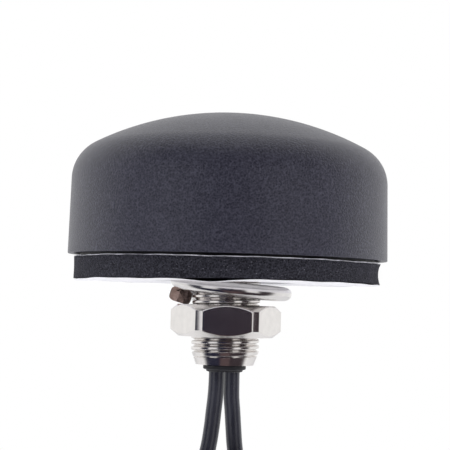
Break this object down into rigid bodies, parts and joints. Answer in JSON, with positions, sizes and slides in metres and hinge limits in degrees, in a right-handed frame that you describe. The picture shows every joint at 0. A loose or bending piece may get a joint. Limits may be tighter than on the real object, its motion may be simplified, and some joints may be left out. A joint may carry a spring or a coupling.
{
  "type": "gnss receiver",
  "caption": "Round puck for a vehicle roof or cabinet: a domed GNSS and cellular housing on a hollow threaded stud, with foam gasket, nut, spring washer and coaxial leads.",
  "frame": {"origin": "on the stud's axis, in the plane of the gasket's underside, where the panel's outer face lies", "axes": "+Z along the stud's axis towards the dome's top; +X towards lead B's side; -Y towards the viewer of the nut's flat"},
  "size_m": [0.0618, 0.056, 0.1165],
  "materials": {
    "textured_plastic": "black, finely spark-eroded texture",
    "base_plastic": "black, smooth moulded",
    "foam": "black closed-cell sponge, speckled",
    "adhesive_film": "clear adhesive film, silvery at its edge",
    "liner_paper": "white release paper, slightly rippled",
    "nickel": "bright nickel plate",
    "washer_steel": "bright nickel plate, bare at the cut ends",
    "rubber": "black moulded rubber",
    "cable_jacket": "black jacket, slightly glossy",
    "screw_steel": "zinc-plated",
    "board_green": "green solder mask",
    "ceramic": "fired buff ceramic",
    "silver": "fired silver",
    "tinned_steel": "tinned",
    "chip": "black moulding compound",
    "copper_flex": "bare copper on film",
    "gold": "gold-plated brass",
    "insulator_white": "white fluoropolymer",
    "tie_nylon": "black nylon"
  },
  "bodies": {
    "housing": {"adhesive_film": "adhesive_film", "base_plate": "base_plastic", "board_screw_1": "screw_steel", "board_screw_2": "screw_steel", "board_screw_3": "screw_steel", "cable_a": "cable_jacket", "cable_b": "cable_jacket", "cable_end_a": "cable_jacket", "cable_end_b": "cable_jacket", "cable_plug": "rubber", "cable_tail_a": "cable_jacket", "cable_tail_b": "cable_jacket", "cellular_strip": "copper_flex", "coax_clip_a": "tinned_steel", "coax_clip_b": "tinned_steel", "coil_a": "cable_jacket", "coil_b": "cable_jacket", "connector_body_a": "gold", "connector_body_b": "gold", "connector_boot_a": "rubber", "connector_boot_b": "rubber", "connector_contact_a": "gold", "connector_contact_b": "gold", "connector_insulator_a": "insulator_white", "connector_insulator_b": "insulator_white", "foam_gasket": "foam", "housing_screw_1": "screw_steel", "housing_screw_2": "screw_steel", "housing_screw_3": "screw_steel", "housing_screw_4": "screw_steel", "lna_amplifier": "chip", "lna_shield": "tinned_steel", "patch_ceramic": "ceramic", "patch_electrode": "silver", "patch_feed_pin": "silver", "patch_pad": "foam", "perimeter_seal": "rubber", "radome": "textured_plastic", "receiver_board": "board_green", "receiver_module": "chip", "receiver_shield": "tinned_steel", "release_liner": "liner_paper", "strain_crimp": "tinned_steel", "stud_jam_nut": "nickel", "stud_seal": "rubber", "threaded_stud": "nickel", "tie_a": "tie_nylon", "tie_b": "tie_nylon"},
    "washer": {"spring_washer": "washer_steel"},
    "nut": {"hex_nut": "nickel"},
    "coupling_a": {"coupling_nut_a": "gold"},
    "coupling_b": {"coupling_nut_b": "gold"}
  },
  "joints": [
    {"name": "nut_travel", "type": "slide", "parent": "housing", "child": "washer", "axis": [0, 0, -1], "range_m": [0, 0.01]},
    {"name": "nut_spin", "type": "hinge", "parent": "washer", "child": "nut", "pos_m": [0, 0, -0.00675], "axis": [0, 0, -1], "range_deg": [0, 3600]},
    {"name": "coupling_spin_a", "type": "hinge", "parent": "housing", "child": "coupling_a", "pos_m": [-0.00729, -0.02115, -0.0784], "axis": [0, 0, 1], "continuous": true},
    {"name": "coupling_spin_b", "type": "hinge", "parent": "housing", "child": "coupling_b", "pos_m": [0.00644, 0.02115, -0.07915], "axis": [0, 0, 1], "continuous": true}
  ],
  "couplings": [
    {"joint": "nut_spin", "follows": "nut_travel", "rad_per_m": 6283.2}
  ]
}
